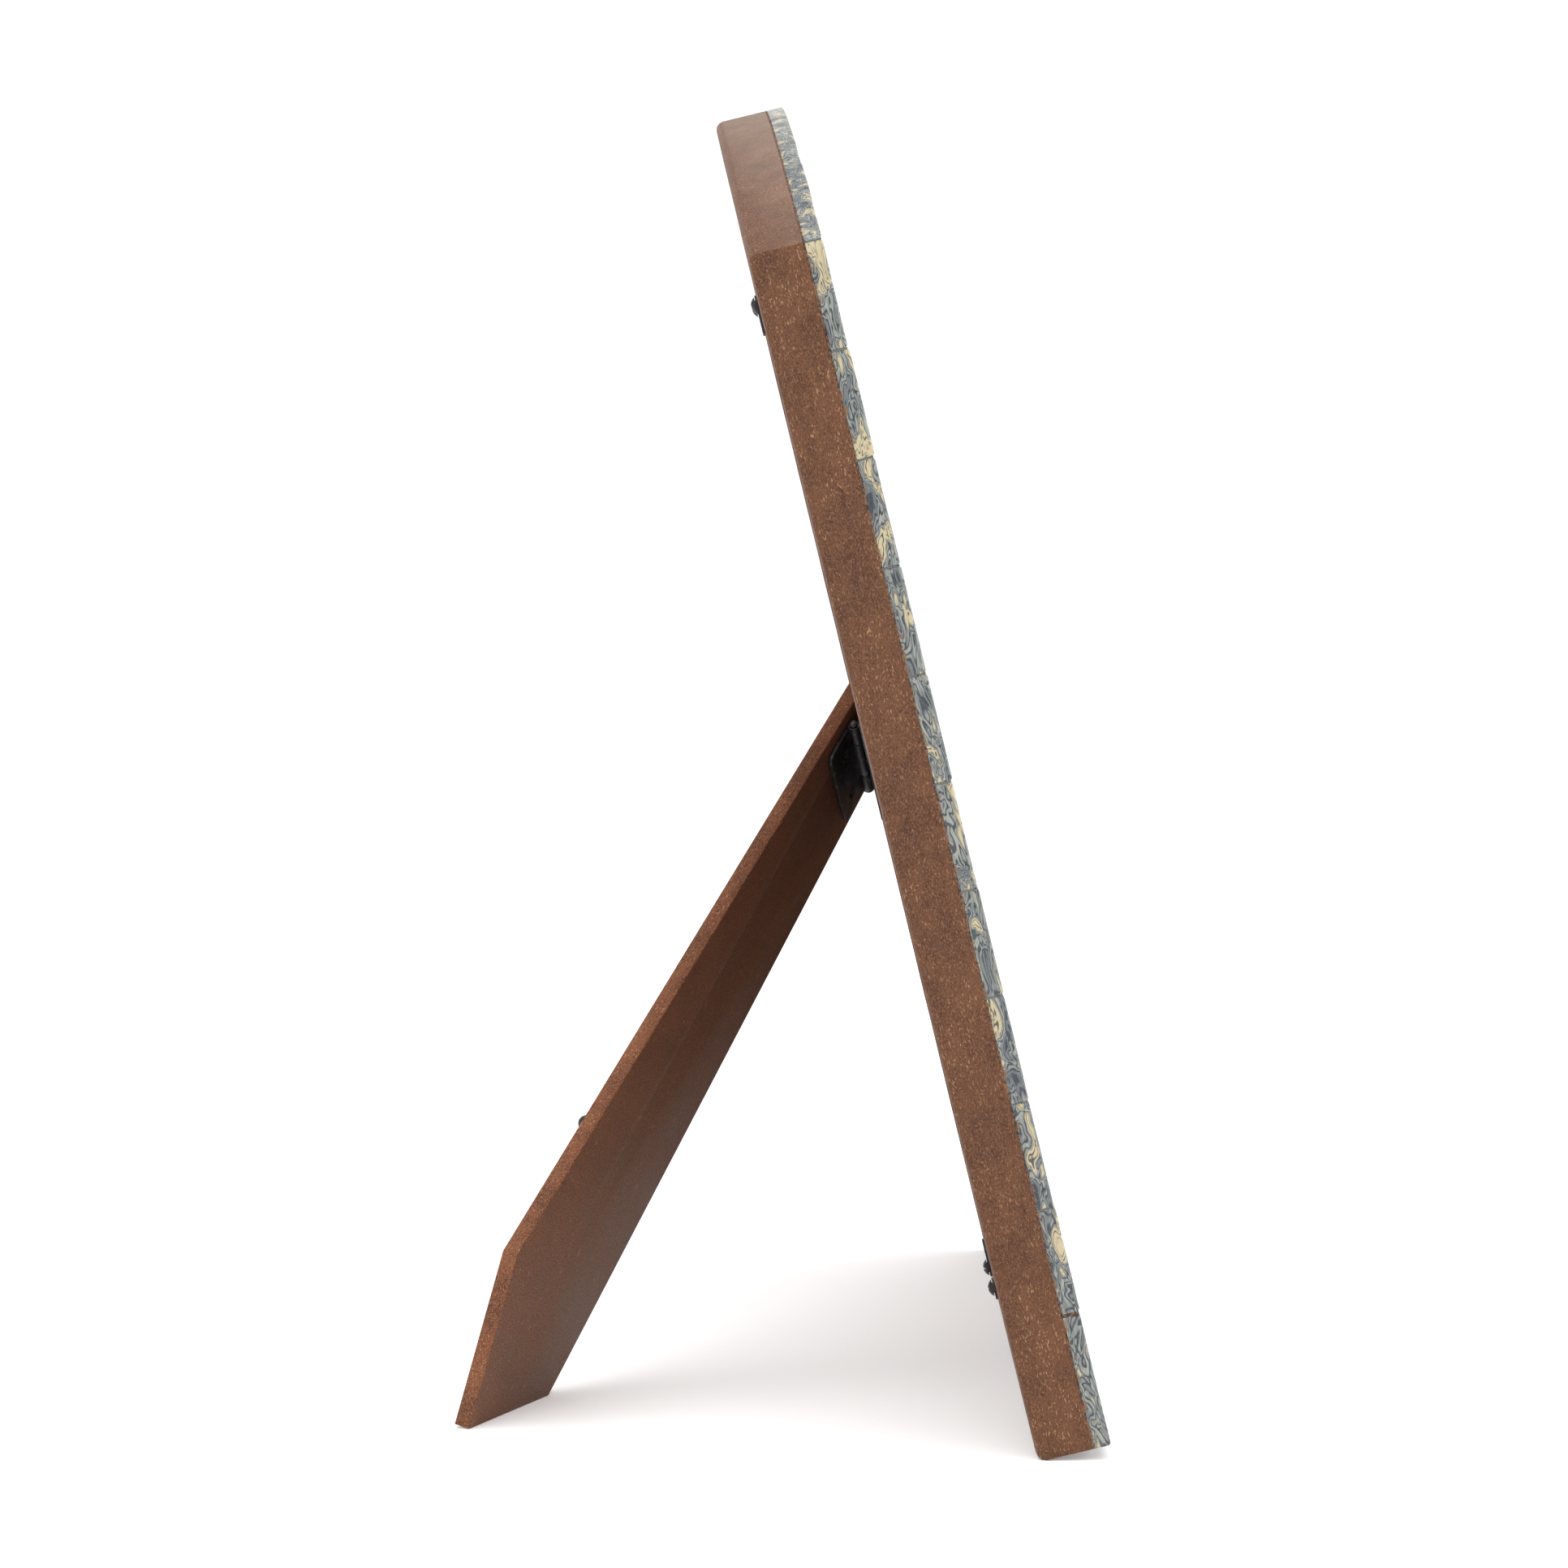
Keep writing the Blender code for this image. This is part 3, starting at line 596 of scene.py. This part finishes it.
def skin_board(name, group, own):
    """Stained fibreboard's smooth face."""
    shade_of = colours()
    material, tree, shader = begin(name)
    feeds = {"Vector": place_in(tree, own), "Dark": shade_of.skin_dark, "Mid": shade_of.skin_mid,
             "Pale": shade_of.board_pale}
    skin = group_in(tree, group, feeds)
    dress(tree, shader, skin["Color"], skin, 0.04 * MM)
    shader.inputs["Specular IOR Level"].default_value = 0.25
    return material


def marbled_resin(group):
    """Marbled resin, with brown adhesive smeared over its back edge."""
    shade_of = colours()
    material, tree, shader = begin("marbled resin")
    spot = place_in(tree, BOARD)
    shift = put(tree, "Attribute", attribute_name="pour").outputs["Vector"]
    feeds = {"Vector": spot, "Shift": shift, "Cream": shade_of.resin_cream,
             "Pale": shade_of.resin_pale, "Blue": shade_of.resin_blue, "Navy": shade_of.resin_navy}
    marbling = group_in(tree, group, feeds)
    board_front = (BOARD_LOW.y - BOARD_HIGH.y) / MM
    level = put(tree, "SeparateXYZ", {0: spot}).outputs["Y"]
    depth = maths(tree, "SUBTRACT", board_front, level)
    ragged = swing(tree, noise(tree, spot, 0.8, 4.0, 0.65), 4.2, 0.52)
    smear = threshold(tree, maths(tree, "SUBTRACT", depth, ragged), 0.42, 0.30)
    shown = mix(tree, maths(tree, "MULTIPLY", smear, 0.85), marbling["Color"], shade_of.filler)
    dress(tree, shader, shown, marbling, 0.015 * MM)
    return material


def rough_filler(name, colour, missing):
    """Filler, pitted and uneven: missing is how readily it has dropped out, and where it has, the
    pits get painted shade, near black.
    """
    material, tree, shader = begin(name)
    spot = place_in(tree, BOARD)
    pits = noise(tree, spot, 1.6, 4.0, 0.65)
    # Painted shade: where filler has dropped out, the pits are painted near black.
    painted_pit_shade = mix(tree, 0.82, colour, (0, 0, 0))
    shown = mix(tree, threshold(tree, pits, missing, missing + 0.14), painted_pit_shade, colour)
    tree.links.new(shown, shader.inputs["Base Color"])
    shader.inputs["Roughness"].default_value = 0.75
    relief(tree, shader, pits, 0.15 * MM)
    return material


def blackened():
    """Blackened steel, rubbed a little brighter in places."""
    material, tree, shader = begin("blackened fittings")
    spot = place_in(tree, BOARD)
    rub = noise(tree, spot, 0.9, 4.0, 0.6)
    blacking = colours().blacking
    rubbed = mix(tree, 0.1, blacking, (1, 1, 1))
    shown = mix(tree, threshold(tree, rub, 0.55, 0.75), blacking, rubbed)
    tree.links.new(shown, shader.inputs["Base Color"])
    tree.links.new(maths(tree, "MULTIPLY_ADD", rub, 0.3, 0.28), shader.inputs["Roughness"])
    shader.inputs["Metallic"].default_value = 0.35
    relief(tree, shader, noise(tree, spot, 5.0, 3.0, 0.6), 0.01 * MM)
    return material


def clear_glass():
    """Picture glass with the faintest haze."""
    material, tree, shader = begin("clear glass")
    shader.inputs["Base Color"].default_value = (0.97, 1.0, 0.98, 1)
    shader.inputs["Transmission Weight"].default_value = 1.0
    shader.inputs["IOR"].default_value = 1.5
    haze = noise(tree, place_in(tree, BOARD), 0.05, 3.0)
    tree.links.new(maths(tree, "MULTIPLY_ADD", haze, 0.012, 0.0), shader.inputs["Roughness"])
    return material


def printed_paper():
    """A soft print of sky over rolling hills."""
    material, tree, shader = begin("printed paper")
    spot = place_in(tree, BOARD)
    parts = put(tree, "SeparateXYZ", {0: spot}).outputs
    low, high = board_box("photo_print")
    above = maths(tree, "SUBTRACT", parts["Z"], low.z / MM)
    rise = maths(tree, "DIVIDE", above, (high.z - low.z) / MM)
    sky = ((0.3, tone(232, 222, 200)), (0.62, tone(196, 210, 214)), (1.0, tone(140, 168, 188)))
    shown = ramp(tree, rise, sky)
    hills = ((0.46, 0.035, 0.012, tone(150, 166, 168)),
             (0.36, 0.05, 0.02, tone(112, 134, 124)),
             (0.22, 0.07, 0.035, tone(82, 104, 84)))
    for number, (level, swell, pace, green) in enumerate(hills):
        along = put(tree, "CombineXYZ", {"X": parts["X"], "Y": 50.0 * number}).outputs[0]
        swells = noise(tree, along, pace, 2.0)
        crest = maths(tree, "MULTIPLY_ADD", swells, swell * 6, level - swell * 3)
        land = threshold(tree, maths(tree, "SUBTRACT", crest, rise), -0.004, 0.004)
        shown = mix(tree, land, shown, green)
    tree.links.new(shown, shader.inputs["Base Color"])
    shader.inputs["Roughness"].default_value = 0.45
    return material


def plain_floor():
    """A plain pale floor that glows a little, so that it stays near white."""
    material, tree, shader = begin("pale floor")
    spot = put(tree, "TexCoord").outputs["Object"]
    cloud = noise(tree, spot, 1.5, 3.0)
    floor = colours().floor
    shown = mix(tree, maths(tree, "MULTIPLY", cloud, 0.04), floor, (0, 0, 0))
    tree.links.new(shown, shader.inputs["Base Color"])
    shader.inputs["Roughness"].default_value = 0.9
    shader.inputs["Emission Color"].default_value = (1, 1, 1, 1)
    shader.inputs["Emission Strength"].default_value = 0.19
    return material


# The pieces

SEATED = {"turn_button": 0.25 * MM, "button_screw": 0.45 * MM}  # down onto what holds them
BOARD_STEP = 4.0 * MM  # between the cuts that let a board bend
BOARD_SWELL = 9.0 * MM  # breadth of the waves in its faces
TILE_STEP = 3.0 * MM
TILE_SWELL = 11.0 * MM
POUR_REACH = 500.0  # millimetres either way that a tile's marbling may be moved by
BED_SLICE = 0.4 * MM  # the adhesive is a slice this thick off the board's front,
BED_LIFT = 0.35 * MM  # and is moved this far forward
BED_STEPS = (2.0 * MM, 1.6 * MM)  # across the board and up it
BED_SWELL = 2.2 * MM
WIDE_JOINT = 0.45 * MM  # a joint wider than this is filled brown, a narrower one grouted
STRIP_STEP = 2.5 * MM
STRIP_ARRIS = 0.03 * MM
STRIP_RAGGED = 0.12 * MM
STRIP_SWELL = 1.7 * MM
STRIP_CLEARANCE = 0.05 * MM  # from the board's front
GLASS_ARRIS = 0.08 * MM
PRINT_ARRIS = 0.03 * MM
LEG_ARRIS_SHARE = 0.6  # the thin leg's arris, as a share of the board's


class PHOTOFRAME_OT_board(bpy.types.Operator):
    """Work the board and the back panel: worn arrises, sanded faces and sawn edges"""

    bl_idname = "photo_frame.board"
    bl_label = "Board and back panel"

    def execute(self, context):
        fibres = fibre_group()
        skin = skin_group()
        sawn = sawn_board("sawn fibreboard", colours().board_mid, fibres, BOARD, dust_and_sheen_group())
        smooth_face = skin_board("fibreboard skin", skin, BOARD)
        for node in ("frame_board", "back_panel"):
            piece = copy_of(node, node + "_finished")
            bevel(piece, sizes().arris)
            score(piece, ACROSS, BOARD_LOW.x, BOARD_HIGH.x, BOARD_STEP)
            score(piece, UP, BOARD_LOW.z, BOARD_HIGH.z, BOARD_STEP)
            wave(piece, sizes().board_wave, BOARD_SWELL, "board wave")
            piece.data.materials.append(smooth_face)
            piece.data.materials.append(sawn)
            paint_edges(piece, BACK)
            shade(piece)
            settle(piece, "frame", "stained_board", node)
        return {"FINISHED"}


class PHOTOFRAME_OT_tiles(bpy.types.Operator):
    """Work each tile: rounded corners, hand-rubbed faces and its own pour of resin"""

    bl_idname = "photo_frame.tiles"
    bl_label = "Marbled tiles"

    def execute(self, context):
        finish = marbled_resin(marble_group())
        draw = random.Random(context.scene.photo_frame_stage.seed)
        for node in TILE_NAMES:
            low, high = board_box(node)
            piece = copy_of(node, node + "_finished")
            bevel(piece, sizes().tile_arris, segments=3, angle=40)
            score(piece, ACROSS, low.x, high.x, TILE_STEP)
            score(piece, UP, low.z, high.z, TILE_STEP)
            wave(piece, sizes().tile_wave, TILE_SWELL, "tile wave")
            pour = [draw.uniform(-POUR_REACH, POUR_REACH) for _ in range(3)]
            shift = piece.data.attributes.new("pour", "FLOAT_VECTOR", "POINT")
            for point in shift.data:
                point.vector = pour
            piece.data.materials.append(finish)
            shade(piece)
            settle(piece, "frame", "marbled_resin", node)
        return {"FINISHED"}


def joint_spans():
    """(low, high) corners of each joint between tiles, in the board's own frame."""
    boxes = {name: board_box(name) for name in TILE_NAMES}
    front = min(low.y for low, high in boxes.values()) + sizes().filler_recess
    bed = BOARD_LOW.y - STRIP_CLEARANCE
    spans = []

    def joint(left, right, foot, top):
        spans.append((Vector((left, front, foot)), Vector((right, bed, top))))

    columns = {side: [name for name in TILE_NAMES if name.startswith("side_tile_" + side)]
               for side in ("left", "right")}
    for column in columns.values():
        for below, above in zip(column, column[1:]):
            low, high = boxes[below]
            joint(low.x, high.x, high.z, boxes[above][0].z)
    arch = [name for name in TILE_NAMES if name.startswith("arch")]
    rail = [name for name in TILE_NAMES if name.startswith("rail")]
    for row in (arch, rail):
        for left, right in zip(row, row[1:]):
            (low, high), (next_low, next_high) = boxes[left], boxes[right]
            joint(high.x, next_low.x, max(low.z, next_low.z), min(high.z, next_high.z))
    for side, end, inner in (("left", arch[0], arch[3]), ("right", arch[-3], arch[-4])):
        top_tile = boxes[columns[side][-1]]
        corner = boxes[columns[side][0]]
        joint(top_tile[0].x, top_tile[1].x, top_tile[1].z, boxes[end][0].z)
        wing = sorted((boxes[inner][0].x, boxes[inner][1].x, top_tile[0].x, top_tile[1].x))
        joint(wing[1], wing[2], boxes[inner][0].z, boxes[end][0].z)
        rail_end = boxes[rail[0] if side == "left" else rail[-1]]
        gap = sorted((rail_end[0].x, rail_end[1].x, corner[0].x, corner[1].x))
        joint(gap[1], gap[2], rail_end[0].z, rail_end[1].z)
    return spans


class PHOTOFRAME_OT_filler(bpy.types.Operator):
    """Lay the adhesive under the tiles and fill the joints between them"""

    bl_idname = "photo_frame.filler"
    bl_label = "Adhesive and joint filler"

    def execute(self, context):
        finish = rough_filler("joint filler", colours().filler, missing=0.42)
        grout = rough_filler("joint grout", colours().grout, missing=0.34)
        bed = copy_of("frame_board", "tile_bed")
        edit(bed)
        slice_at = BOARD @ Vector((0, BOARD_LOW.y + BED_SLICE, 0))
        bpy.ops.mesh.bisect(plane_co=slice_at, plane_no=BACK, use_fill=True, clear_outer=True)
        bpy.ops.mesh.select_all(action="SELECT")
        bpy.ops.transform.translate(value=BACK * -BED_LIFT)
        bpy.ops.transform.shrink_fatten(value=-sizes().bed_inset)
        leave()
        score(bed, ACROSS, BOARD_LOW.x, BOARD_HIGH.x, BED_STEPS[0])
        score(bed, UP, BOARD_LOW.z, BOARD_HIGH.z, BED_STEPS[1])
        wave(bed, sizes().bed_ragged, BED_SWELL, "ragged adhesive")
        bed.data.materials.append(finish)
        shade(bed)
        settle(bed, "frame", "marbled_resin")
        wide, narrow = [], []
        for number, (low, high) in enumerate(joint_spans()):
            strip = block(f"joint_{number}", low, high)
            bevel(strip, STRIP_ARRIS, segments=1)
            size = high - low
            if size.x > size.z:
                score(strip, ACROSS, low.x, high.x, STRIP_STEP)
            else:
                score(strip, UP, low.z, high.z, STRIP_STEP)
            (wide if min(size.x, size.z) > WIDE_JOINT else narrow).append(strip)
        for name, strips, paste in (("joint_filler", wide, finish), ("joint_grout", narrow, grout)):
            only(*strips)
            bpy.ops.object.join()
            filler = bpy.context.object
            filler.name = name
            wave(filler, STRIP_RAGGED, STRIP_SWELL, "ragged filler")
            filler.data.materials.clear()
            filler.data.materials.append(paste)
            shade(filler)
            settle(filler, "frame", "marbled_resin")
        return {"FINISHED"}


class PHOTOFRAME_OT_glazing(bpy.types.Operator):
    """Finish the glass and the print behind it"""

    bl_idname = "photo_frame.glazing"
    bl_label = "Glass and print"

    def execute(self, context):
        sheets = (("glazing", GLASS_ARRIS, clear_glass(), "clear_glass"),
                  ("photo_print", PRINT_ARRIS, printed_paper(), "printed_paper"))
        for node, arris, finish, slot in sheets:
            piece = copy_of(node, node + "_finished")
            bevel(piece, arris)
            piece.data.materials.append(finish)
            shade(piece)
            settle(piece, "frame", slot, node)
        return {"FINISHED"}


class PHOTOFRAME_OT_leg(bpy.types.Operator):
    """Work the easel leg: smooth skins and a sawn, redder edge"""

    bl_idname = "photo_frame.leg"
    bl_label = "Easel leg"

    def execute(self, context):
        piece = copy_of("easel_leg", "easel_leg_finished")
        normal = broad_normal(piece.data)
        bevel(piece, sizes().arris * LEG_ARRIS_SHARE)
        groups = bpy.data.node_groups
        own = leg_frame()
        piece.data.materials.append(skin_board("leg skin", groups["pressed skin"], own))
        piece.data.materials.append(
            sawn_board("sawn leg edge", colours().leg_edge, groups["pressed fibres"], own,
                       groups["settled dust and painted sheen"]))
        paint_edges(piece, normal)
        shade(piece)
        settle(piece, "leg", "stained_leg", "easel_leg")
        return {"FINISHED"}


class PHOTOFRAME_OT_fittings(bpy.types.Operator):
    """Break the corners of the hinge, buttons, screws and stud, and blacken them"""

    bl_idname = "photo_frame.fittings"
    bl_label = "Black fittings"

    def execute(self, context):
        finish = blackened()
        for body, nodes in frame["record"]["behaviour"]["bodies"].items():
            for node in nodes:
                if not any(word in node for word in ("screw", "button", "hinge", "stud")):
                    continue
                piece = copy_of(node, node + "_finished")
                bevel(piece, sizes().fitting_arris, angle=35)
                sink = next((depth for word, depth in SEATED.items() if word in node), 0)
                edit(piece)
                bpy.ops.transform.translate(value=BACK * -sink)
                leave()
                piece.data.materials.append(finish)
                shade(piece)
                settle(piece, body, "black_hardware", node)
        return {"FINISHED"}


# The stage

FLOOR_RADIUS = 2.2
FLOOR_DROP = 0.1 * MM  # under the object's lowest point
COVE_RADIUS = 0.8  # of the curve from the floor up into the backdrop
COVE_STEPS = 9
WALL_RISE = 1.2
LIGHT_AIM = (0, 0, 0.12)
LIGHTS = (  # name, place, width and height, power in watts
    ("overhead", (-0.2, 0.0, 1.5), (1.6, 1.6), 21),
    ("camera side", (-1.4, 0.3, 1.1), (1.2, 1.2), 7),
    ("front side", (-0.2, -1.5, 0.6), (1.0, 1.4), 12),
    ("rear side", (-0.4, 1.5, 0.7), (1.0, 1.2), 3),
)
WORLD_STRENGTH = 0.7


def area_light(name, place, size, power):
    """Add a soft white light that faces the object."""
    light = bpy.data.lights.new(name, "AREA")
    light.shape = "RECTANGLE"
    light.size, light.size_y = size
    light.energy = power
    lamp = bpy.data.objects.new(name, light)
    bpy.context.scene.collection.objects.link(lamp)
    lamp.location = place
    facing = Vector(LIGHT_AIM) - Vector(place)
    lamp.rotation_euler = facing.to_track_quat("-Z", "Y").to_euler()


def seamless_floor():
    """A round floor that curves up into a backdrop all round."""
    bpy.ops.object.select_all(action="DESELECT")
    bpy.ops.mesh.primitive_circle_add(
        vertices=96, radius=FLOOR_RADIUS, fill_type="NGON", location=(0, 0, -FLOOR_DROP))
    floor = bpy.context.object
    floor.name = "studio_floor"
    edit(floor)
    step = math.radians(90) / COVE_STEPS
    for number in range(1, COVE_STEPS + 1):
        before, after = step * (number - 1), step * number
        rise = COVE_RADIUS * (math.cos(before) - math.cos(after))
        growth = ((FLOOR_RADIUS + COVE_RADIUS * math.sin(after))
                  / (FLOOR_RADIUS + COVE_RADIUS * math.sin(before)))
        bpy.ops.mesh.extrude_region_move(TRANSFORM_OT_translate={"value": (0, 0, rise)})
        bpy.ops.transform.resize(value=(growth, growth, 1))
    bpy.ops.mesh.extrude_region_move(TRANSFORM_OT_translate={"value": (0, 0, WALL_RISE)})
    bpy.ops.mesh.delete(type="ONLY_FACE")
    leave()
    floor.data.materials.append(plain_floor())
    shade(floor, angle=60)
    return floor


def studio_camera(setup):
    """The camera, placed from the foot of the board's rear face."""
    data = bpy.data.cameras.new("camera")
    data.lens = setup.lens
    data.sensor_width = 36
    data.clip_start = 0.01
    camera = bpy.data.objects.new("camera", data)
    bpy.context.scene.collection.objects.link(camera)
    camera.location = BOARD.translation + Vector(CAMERA_FROM_FOOT)
    camera.rotation_euler = (math.radians(90) - setup.tilt, 0, math.radians(-90) - setup.yaw)
    return camera


class PHOTOFRAME_OT_stage(bpy.types.Operator):
    """Set the pale floor, the soft lights and the camera"""

    bl_idname = "photo_frame.stage"
    bl_label = "Floor, lights and camera"

    def execute(self, context):
        seamless_floor()
        for name, place, size, power in LIGHTS:
            area_light(name, place, size, power)
        world = bpy.data.worlds.new("studio")
        world.use_nodes = True
        backdrop = world.node_tree.nodes["Background"].inputs
        backdrop["Color"].default_value = (1, 1, 1, 1)
        backdrop["Strength"].default_value = WORLD_STRENGTH
        scene = context.scene
        scene.world = world
        scene.view_settings.view_transform = "Standard"
        scene.camera = studio_camera(scene.photo_frame_stage)
        return {"FINISHED"}


class PHOTOFRAME_PT_panel(bpy.types.Panel):
    """Lists the steps in the order they are done"""

    bl_idname = "PHOTOFRAME_PT_panel"
    bl_label = "Photo frame"
    bl_space_type = "VIEW_3D"
    bl_region_type = "UI"
    bl_category = "Photo frame"

    def draw(self, context):
        for operator in OPERATORS:
            self.layout.operator(operator.bl_idname)
        for group in (sizes(), colours(), context.scene.photo_frame_stage):
            column = self.layout.column()
            for name in group.bl_rna.properties.keys():
                if name not in ("rna_type", "name"):
                    column.prop(group, name)


OPERATORS = (PHOTOFRAME_OT_board, PHOTOFRAME_OT_tiles, PHOTOFRAME_OT_filler, PHOTOFRAME_OT_glazing,
             PHOTOFRAME_OT_leg, PHOTOFRAME_OT_fittings, PHOTOFRAME_OT_stage)
GROUPS = (PHOTOFRAME_PG_sizes, PHOTOFRAME_PG_colours, PHOTOFRAME_PG_stage)


def register():
    """Add the settings, the operators and the panel."""
    for kind in (*GROUPS, *OPERATORS, PHOTOFRAME_PT_panel):
        bpy.utils.register_class(kind)
    bpy.types.Scene.photo_frame_sizes = PointerProperty(type=PHOTOFRAME_PG_sizes)
    bpy.types.Scene.photo_frame_colours = PointerProperty(type=PHOTOFRAME_PG_colours)
    bpy.types.Scene.photo_frame_stage = PointerProperty(type=PHOTOFRAME_PG_stage)


def unregister():
    """Take them away again."""
    del bpy.types.Scene.photo_frame_stage
    del bpy.types.Scene.photo_frame_colours
    del bpy.types.Scene.photo_frame_sizes
    for kind in reversed((*GROUPS, *OPERATORS, PHOTOFRAME_PT_panel)):
        bpy.utils.unregister_class(kind)


def main():
    """Register the steps, finish every piece and set the stage."""
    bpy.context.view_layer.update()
    register()
    bpy.ops.photo_frame.board()
    bpy.ops.photo_frame.tiles()
    bpy.ops.photo_frame.filler()
    bpy.ops.photo_frame.glazing()
    bpy.ops.photo_frame.leg()
    bpy.ops.photo_frame.fittings()
    bpy.ops.photo_frame.stage()


if __name__ == "__main__":
    main()
